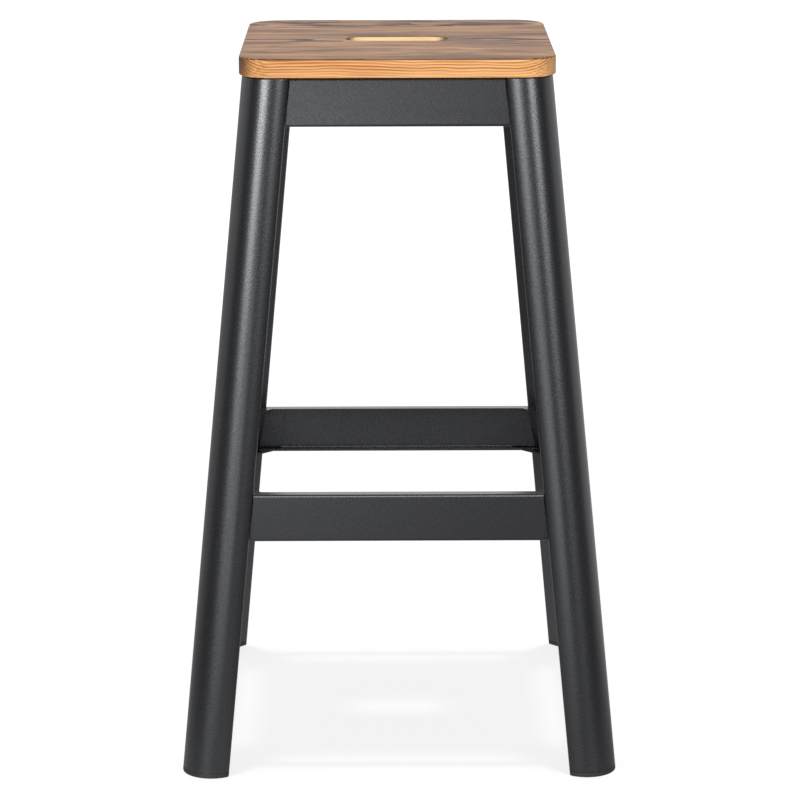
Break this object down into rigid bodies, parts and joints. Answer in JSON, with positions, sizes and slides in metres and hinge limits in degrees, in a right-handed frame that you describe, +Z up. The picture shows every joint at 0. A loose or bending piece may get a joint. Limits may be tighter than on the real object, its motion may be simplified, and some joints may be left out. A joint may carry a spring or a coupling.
{
  "type": "bar stool",
  "caption": "Backless bar stool: square wood seat with a hand slot on a splayed black steel frame of half-round legs, apron rails and a footrest ring.",
  "frame": {"origin": "on the floor, below the middle of the seat", "axes": "+Z up, +X to the sitter's right along the hand slot, +Y to the rear"},
  "size_m": [0.4646, 0.4646, 0.76],
  "materials": {
    "frame_black": "fine-textured satin black powder coat",
    "seat_wood": "stained softwood with a clear satin coat, long grain along X",
    "glide_plastic": "matte moulded black",
    "pad_rubber": "matte black",
    "bolt_steel": "black oxide",
    "nut_steel": "bright zinc"
  },
  "bodies": {
    "root": {"seat_panel": "seat_wood", "leg_rear_right": "frame_black", "leg_cap_rear_right": "frame_black", "seat_pad_rear_right": "pad_rubber", "glide_rear_right": "glide_plastic", "apron_bracket_rear_right": "frame_black", "footrest_bracket_rear_right": "frame_black", "leg_rear_left": "frame_black", "leg_cap_rear_left": "frame_black", "seat_pad_rear_left": "pad_rubber", "glide_rear_left": "glide_plastic", "apron_bracket_rear_left": "frame_black", "footrest_bracket_rear_left": "frame_black", "leg_front_left": "frame_black", "leg_cap_front_left": "frame_black", "seat_pad_front_left": "pad_rubber", "glide_front_left": "glide_plastic", "apron_bracket_front_left": "frame_black", "footrest_bracket_front_left": "frame_black", "leg_front_right": "frame_black", "leg_cap_front_right": "frame_black", "seat_pad_front_right": "pad_rubber", "glide_front_right": "glide_plastic", "apron_bracket_front_right": "frame_black", "footrest_bracket_front_right": "frame_black", "apron_rear": "frame_black", "footrest_rear": "frame_black", "apron_left": "frame_black", "footrest_left": "frame_black", "apron_front": "frame_black", "footrest_front": "frame_black", "apron_right": "frame_black", "footrest_right": "frame_black", "leg_bolts": "bolt_steel", "leg_rivet_nuts": "nut_steel", "seat_screws": "nut_steel", "seat_washers": "nut_steel"}
  },
  "joints": []
}
